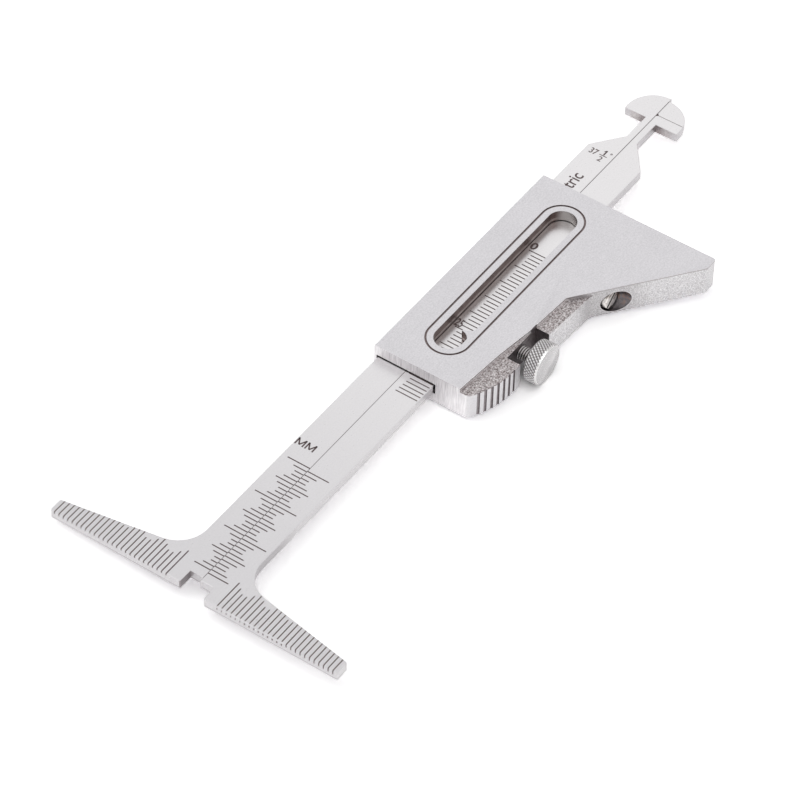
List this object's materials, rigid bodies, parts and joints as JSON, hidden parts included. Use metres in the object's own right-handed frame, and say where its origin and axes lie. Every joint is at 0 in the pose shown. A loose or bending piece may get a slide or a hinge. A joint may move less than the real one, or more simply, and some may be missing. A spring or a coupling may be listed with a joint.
{
  "type": "weld gauge",
  "caption": "Sliding weld gauge: split T blade with half-hook tips running through a slotted body that has a window, an angled foot and a knurled thumb screw.",
  "frame": {"origin": "on the bottom face of the housing, under the joint line of the two blades, at the middle of the housing's length", "axes": "+X along the blades towards the hooks, +Y away from the thumb screw, +Z out of the front face"},
  "size_m": [0.1583, 0.064, 0.0085],
  "materials": {
    "housing_steel": "satin",
    "blade_steel": "brushed",
    "screw_steel": "turned",
    "brass": "turned"
  },
  "bodies": {
    "body": {"housing": "housing_steel", "drag_spring": "screw_steel", "drag_plunger": "brass"},
    "left_blade": {"left_blade": "blade_steel"},
    "right_blade": {"right_blade": "blade_steel"},
    "clamp": {"clamp_pad": "brass"},
    "thumb_screw": {"thumb_screw": "screw_steel"},
    "drag_screw": {"drag_screw": "screw_steel"}
  },
  "joints": [
    {"name": "left_blade_slide", "type": "slide", "parent": "body", "child": "left_blade", "axis": [1, 0, 0], "range_m": [-0.0279, 0.017]},
    {"name": "right_blade_slide", "type": "slide", "parent": "body", "child": "right_blade", "axis": [1, 0, 0], "range_m": [-0.0271, 0.0178]},
    {"name": "clamp_slide", "type": "slide", "parent": "body", "child": "clamp", "axis": [0, -1, 0], "range_m": [0, 0.001]},
    {"name": "thumb_screw_turn", "type": "hinge", "parent": "clamp", "child": "thumb_screw", "pos_m": [-0.01105, -0.0187, 0.0034], "axis": [0, -1, 0], "range_deg": [0, 720]},
    {"name": "drag_screw_turn", "type": "hinge", "parent": "body", "child": "drag_screw", "pos_m": [0.0109, -0.018, 0.00292], "axis": [0, -1, 0], "range_deg": [-90, 90]}
  ],
  "couplings": [
    {"joint": "thumb_screw_turn", "follows": "clamp_slide", "rad_per_m": 12566}
  ]
}
